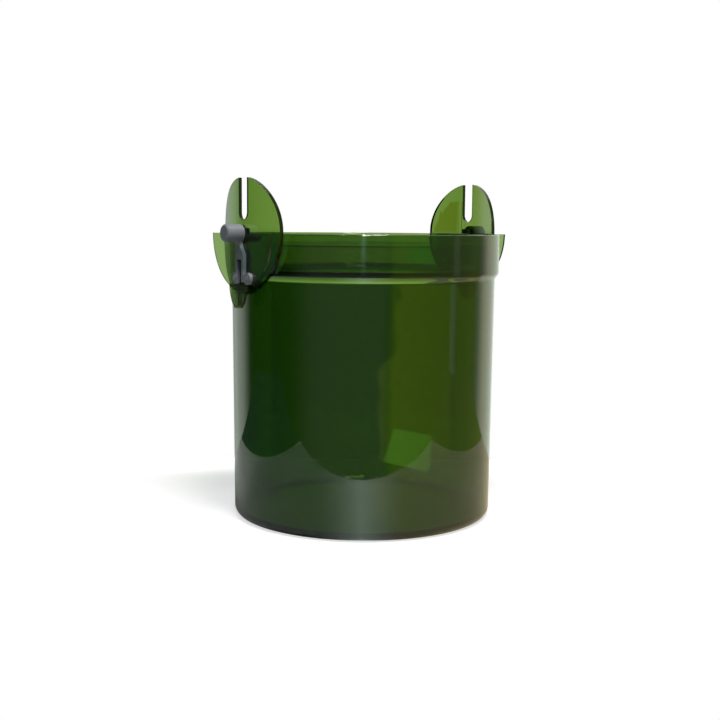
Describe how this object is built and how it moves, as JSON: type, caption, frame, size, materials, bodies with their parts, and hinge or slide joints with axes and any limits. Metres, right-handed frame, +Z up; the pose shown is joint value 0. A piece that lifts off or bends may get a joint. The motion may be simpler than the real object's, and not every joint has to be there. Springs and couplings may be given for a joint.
{
  "type": "canister filter",
  "caption": "Open clear-plastic filter canister with a stepped collar, slotted ear plates and rotary half-disc latches for its pump head.",
  "frame": {"origin": "centre of the base, on the surface that the vessel stands on", "axes": "+Z up along the vessel's axis towards the open rim; the two ear plates and latches are on -X (left) and +X (right)"},
  "size_m": [0.3282, 0.279, 0.3442],
  "materials": {
    "clear_green": "transparent, polished",
    "grey_grip": "moulded, satin",
    "grey_pin": "moulded, satin"
  },
  "bodies": {
    "vessel": {"shell": "clear_green", "ear_left": "clear_green", "ear_right": "clear_green", "pivot_pin_left": "grey_pin", "pivot_pin_right": "grey_pin"},
    "latch_left": {"latch_disc_left": "clear_green", "latch_grip_left": "grey_grip", "rivet_left_a": "grey_pin", "rivet_left_b": "grey_pin"},
    "latch_right": {"latch_disc_right": "clear_green", "latch_grip_right": "grey_grip", "rivet_right_a": "grey_pin", "rivet_right_b": "grey_pin"}
  },
  "joints": [
    {"name": "latch_left_turn", "type": "hinge", "parent": "vessel", "child": "latch_left", "pos_m": [-0.15, 0, 0.291], "axis": [-1, 0, 0], "continuous": true},
    {"name": "latch_right_turn", "type": "hinge", "parent": "vessel", "child": "latch_right", "pos_m": [0.15, 0, 0.291], "axis": [1, 0, 0], "continuous": true}
  ]
}
